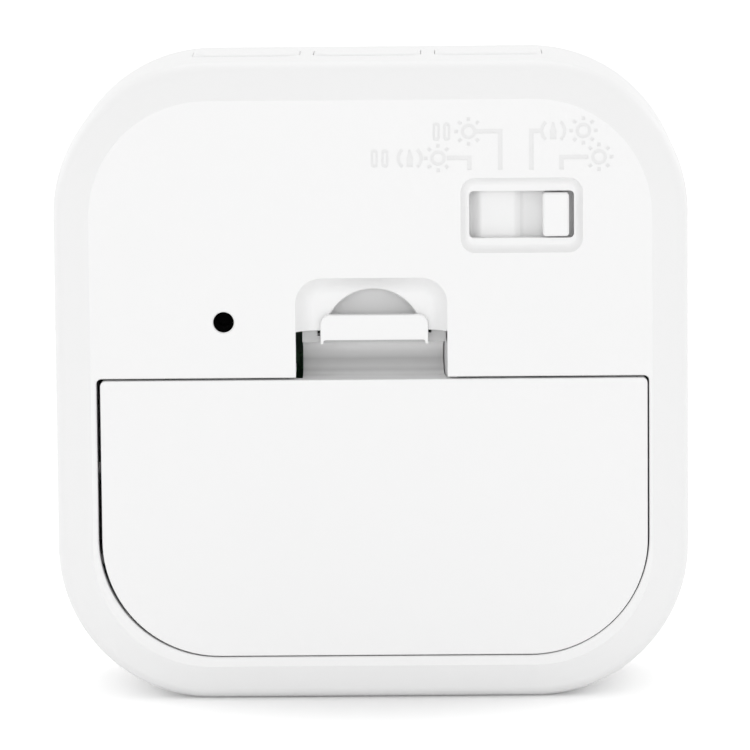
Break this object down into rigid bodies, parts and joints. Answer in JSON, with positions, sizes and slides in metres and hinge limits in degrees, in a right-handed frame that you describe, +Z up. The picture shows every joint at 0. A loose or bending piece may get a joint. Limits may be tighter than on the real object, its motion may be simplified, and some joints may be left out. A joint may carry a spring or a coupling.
{
  "type": "digital kitchen timer",
  "caption": "Rounded square kitchen timer with a display in front, push buttons on top, and a slide switch and sprung battery door on its back.",
  "frame": {"origin": "middle of the underside, on the surface that the timer stands on", "axes": "+Z up, +Y out of the back with the battery door, -Y out of the display, +X to the right as seen from the front"},
  "size_m": [0.07, 0.028, 0.0712],
  "materials": {
    "shell": "fine satin moulding",
    "buttons": "fine satin moulding",
    "lens": "polished clear plastic",
    "display": "glass with a grey-green reflector",
    "diffuser": "milky diffuser",
    "board": "solder mask",
    "component": "moulded black",
    "soft_rubber": "matt rubber",
    "steel": "nickel plate",
    "cell_sleeve": "plain printed sleeve",
    "lead_red": "vinyl insulation",
    "lead_black": "vinyl insulation",
    "lead_grey": "vinyl insulation"
  },
  "bodies": {
    "case": {"front_bezel": "shell", "rear_housing": "shell", "display_lens": "lens", "lcd_panel": "display", "backlight_plate": "diffuser", "backlight_led": "diffuser", "zebra_connector": "soft_rubber", "main_board": "board", "switch_board": "board", "controller_chip": "component", "crystal": "steel", "tact_switch_left": "component", "tact_switch_middle": "component", "tact_switch_right": "component", "slide_switch_body": "steel", "buzzer": "component", "vibration_motor": "steel", "motor_boot": "soft_rubber", "cell_upper": "cell_sleeve", "cell_lower": "cell_sleeve", "positive_contact": "steel", "negative_contact": "steel", "bridge_contact": "steel", "bridge_spring": "steel", "negative_spring": "steel", "positive_lead": "lead_red", "negative_lead": "lead_black", "buzzer_lead": "lead_black", "motor_lead": "lead_red", "switch_ribbon": "lead_grey", "case_screw_left": "steel", "case_screw_right": "steel", "board_screw_1": "steel", "board_screw_2": "steel", "board_screw_3": "steel", "board_screw_4": "steel", "switch_screw_1": "steel", "switch_screw_2": "steel"},
    "left_button": {"button_left": "buttons", "plunger_left": "component"},
    "middle_button": {"button_middle": "buttons", "plunger_middle": "component"},
    "right_button": {"button_right": "buttons", "plunger_right": "component"},
    "slider": {"mode_slider": "buttons", "slide_switch_actuator": "component"},
    "door": {"battery_door": "shell"},
    "latch": {"door_latch": "shell"},
    "weight": {"motor_weight": "steel"}
  },
  "joints": [
    {"name": "left_button_press", "type": "slide", "parent": "case", "child": "left_button", "axis": [0, 0, -1], "range_m": [0, 0.0005], "stiffness_N_per_m": 600},
    {"name": "middle_button_press", "type": "slide", "parent": "case", "child": "middle_button", "axis": [0, 0, -1], "range_m": [0, 0.0005], "stiffness_N_per_m": 600},
    {"name": "right_button_press", "type": "slide", "parent": "case", "child": "right_button", "axis": [0, 0, -1], "range_m": [0, 0.0005], "stiffness_N_per_m": 600},
    {"name": "mode_slide", "type": "slide", "parent": "case", "child": "slider", "axis": [1, 0, 0], "range_m": [0, 0.0075]},
    {"name": "door_open", "type": "hinge", "parent": "case", "child": "door", "pos_m": [0, 0.014, 0.00534], "axis": [-1, 0, 0], "range_deg": [0, 45]},
    {"name": "latch_flex", "type": "hinge", "parent": "door", "child": "latch", "pos_m": [0, 0.00745, 0.03804], "axis": [-1, 0, 0], "range_deg": [0, 8], "stiffness_Nm_per_rad": 0.05},
    {"name": "motor_spin", "type": "hinge", "parent": "case", "child": "weight", "pos_m": [0.016, 0.0068, 0.05842], "axis": [1, 0, 0], "continuous": true}
  ]
}
